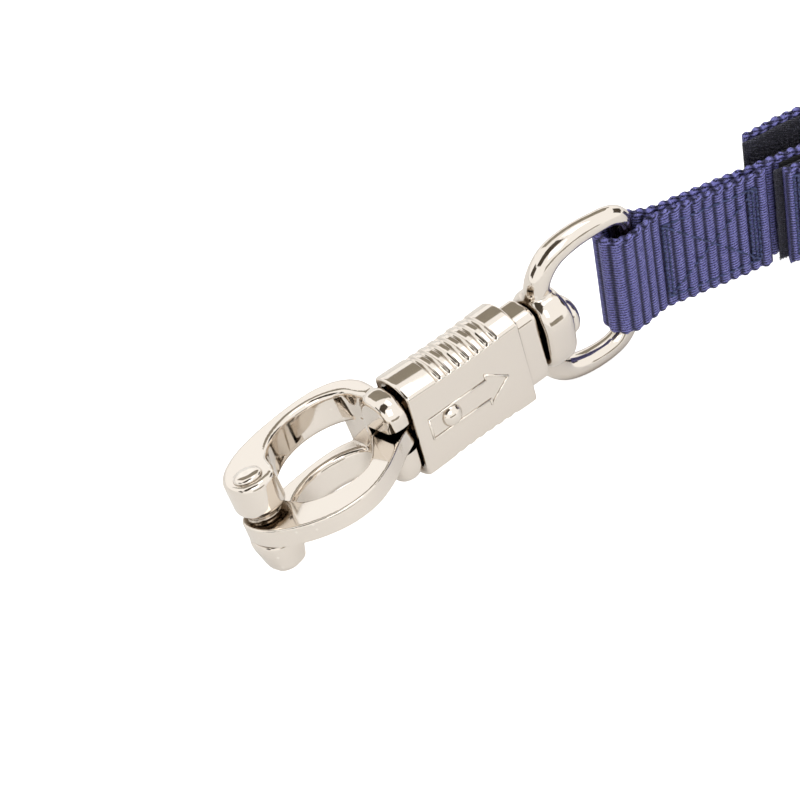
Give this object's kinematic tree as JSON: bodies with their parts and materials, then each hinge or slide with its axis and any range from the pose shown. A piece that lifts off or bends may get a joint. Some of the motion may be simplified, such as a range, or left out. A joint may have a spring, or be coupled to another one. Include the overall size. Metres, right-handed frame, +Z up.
{
  "type": "breakaway tie strap with panic snap",
  "caption": "Webbing tie strap: a quick-release panic hook with a swivelling D-eye, a hook-and-loop breakaway joint, and a plain ring at the far end.",
  "frame": {"origin": "centre of the underside of the bounding box", "axes": "+X along the snap from its nose to its eye and on along the strap, +Z up with the strap standing on edge, +Y away from the strap's front face"},
  "size_m": [0.4442, 0.1172, 0.0379],
  "materials": {
    "nickel": "bright nickel plate",
    "spring_steel": "drawn wire",
    "webbing": "ribbed navy nylon webbing",
    "loop_tape": "soft loop tape",
    "hook_tape": "hook tape",
    "thread": "sewing thread"
  },
  "bodies": {
    "tether": {"main_strap": "webbing", "front_tab": "webbing", "front_hook_tape": "hook_tape", "back_tab": "webbing", "back_hook_tape": "hook_tape", "stitch_tabs_front": "thread", "stitch_tabs_back": "thread", "stitch_end_front": "thread", "stitch_end_back": "thread"},
    "short_end": {"short_strap": "webbing", "loop_tape_front": "loop_tape", "loop_tape_back": "loop_tape", "stitch_loop_front": "thread", "stitch_loop_back": "thread"},
    "eye": {"swivel_eye": "nickel"},
    "hook": {"hook_body": "nickel", "jaw_pivot_rivet": "nickel", "swivel_stud": "nickel", "release_spring": "spring_steel"},
    "sleeve": {"release_sleeve": "nickel", "sleeve_cross_pin": "nickel"},
    "jaw": {"release_jaw": "nickel"},
    "ring": {"end_ring": "nickel"}
  },
  "joints": [
    {"name": "breakaway_slide", "type": "slide", "parent": "tether", "child": "short_end", "axis": [-0.9632, 0.2689, 0], "range_m": [0, 0.075]},
    {"name": "eye_fold_hinge", "type": "hinge", "parent": "short_end", "child": "eye", "pos_m": [-0.13078, 0.04148, 0.01894], "axis": [0, 0, 1], "range_deg": [-105, 75]},
    {"name": "snap_swivel", "type": "hinge", "parent": "eye", "child": "hook", "pos_m": [-0.15038, 0.04148, 0.01894], "axis": [1, 0, 0], "continuous": true},
    {"name": "sleeve_slide", "type": "slide", "parent": "hook", "child": "sleeve", "axis": [1, 0, 0], "range_m": [0, 0.005], "stiffness_N_per_m": 1200, "springref_m": -0.003, "deforming": ["release_spring"]},
    {"name": "jaw_hinge", "type": "hinge", "parent": "hook", "child": "jaw", "pos_m": [-0.21738, 0.04148, 0.01894], "axis": [0, 0.3859, 0.9225], "range_deg": [-60, 0]},
    {"name": "end_ring_hinge", "type": "hinge", "parent": "tether", "child": "ring", "pos_m": [0.20151, -0.0513, 0.01894], "axis": [0, 0, 1], "range_deg": [-90, 90]}
  ],
  "couplings": [
    {"joint": "jaw_hinge", "follows": "sleeve_slide", "rad_per_m": -209.44}
  ]
}
